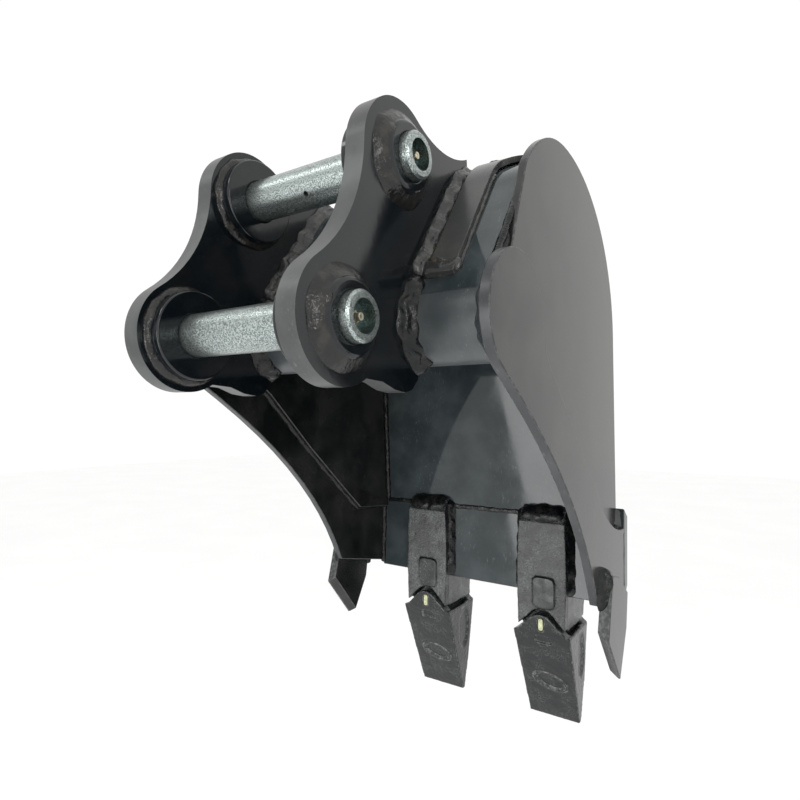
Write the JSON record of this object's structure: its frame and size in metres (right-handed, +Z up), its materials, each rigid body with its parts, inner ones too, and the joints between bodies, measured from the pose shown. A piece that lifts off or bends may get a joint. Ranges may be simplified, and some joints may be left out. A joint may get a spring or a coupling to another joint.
{
  "type": "excavator bucket",
  "caption": "Narrow pin-on digging bucket with rolled shell, pin ears on a torque tube, withdrawable pins, side cutters and replaceable teeth.",
  "frame": {"origin": "middle of the arm pin, between the ears, on the pin's axis", "axes": "+X along the pins to the bucket's right, +Y back towards the heel, +Z up with the teeth hanging down"},
  "size_m": [0.311, 0.4267, 0.5335],
  "materials": {
    "shell_paint": "satin dark grey paint on plate",
    "ear_paint": "satin dark grey paint on flame-cut plate",
    "cast_paint": "satin dark grey paint on rough casting",
    "zinc": "zinc plated",
    "nipple": "plated",
    "lock": "yellow passivated"
  },
  "bodies": {
    "bucket": {"wrapper": "shell_paint", "side_plate_left": "shell_paint", "side_plate_right": "shell_paint", "side_bar_left": "shell_paint", "side_bar_right": "shell_paint", "lip_plate": "shell_paint", "side_cutter_left": "shell_paint", "side_cutter_right": "shell_paint", "torque_tube": "shell_paint", "ear_left": "ear_paint", "ear_right": "ear_paint", "ear_pad_left": "shell_paint", "ear_pad_right": "shell_paint", "arm_boss_left": "ear_paint", "arm_boss_right": "ear_paint", "link_boss_left": "ear_paint", "link_boss_right": "ear_paint", "arm_flag_seat": "ear_paint", "link_flag_seat": "ear_paint", "tooth_adapter_left": "cast_paint", "tooth_adapter_right": "cast_paint", "tooth_point_left": "cast_paint", "tooth_point_right": "cast_paint"},
    "arm_pin_set": {"arm_pin": "zinc", "arm_grease_nipple": "nipple", "arm_pin_flag": "zinc", "arm_flag_bolt": "zinc"},
    "link_pin_set": {"link_pin": "zinc", "link_grease_nipple": "nipple", "link_pin_flag": "zinc", "link_flag_bolt": "zinc"},
    "lock_left": {"tooth_lock_pin_left": "lock"},
    "lock_right": {"tooth_lock_pin_right": "lock"}
  },
  "joints": [
    {"name": "arm_pin_slide", "type": "slide", "parent": "bucket", "child": "arm_pin_set", "axis": [-1, 0, 0], "range_m": [0, 0.19]},
    {"name": "link_pin_slide", "type": "slide", "parent": "bucket", "child": "link_pin_set", "axis": [-1, 0, 0], "range_m": [0, 0.19]},
    {"name": "lock_left_slide", "type": "slide", "parent": "bucket", "child": "lock_left", "axis": [0, -1, 0], "range_m": [0, 0.07]},
    {"name": "lock_right_slide", "type": "slide", "parent": "bucket", "child": "lock_right", "axis": [0, -1, 0], "range_m": [0, 0.07]}
  ]
}
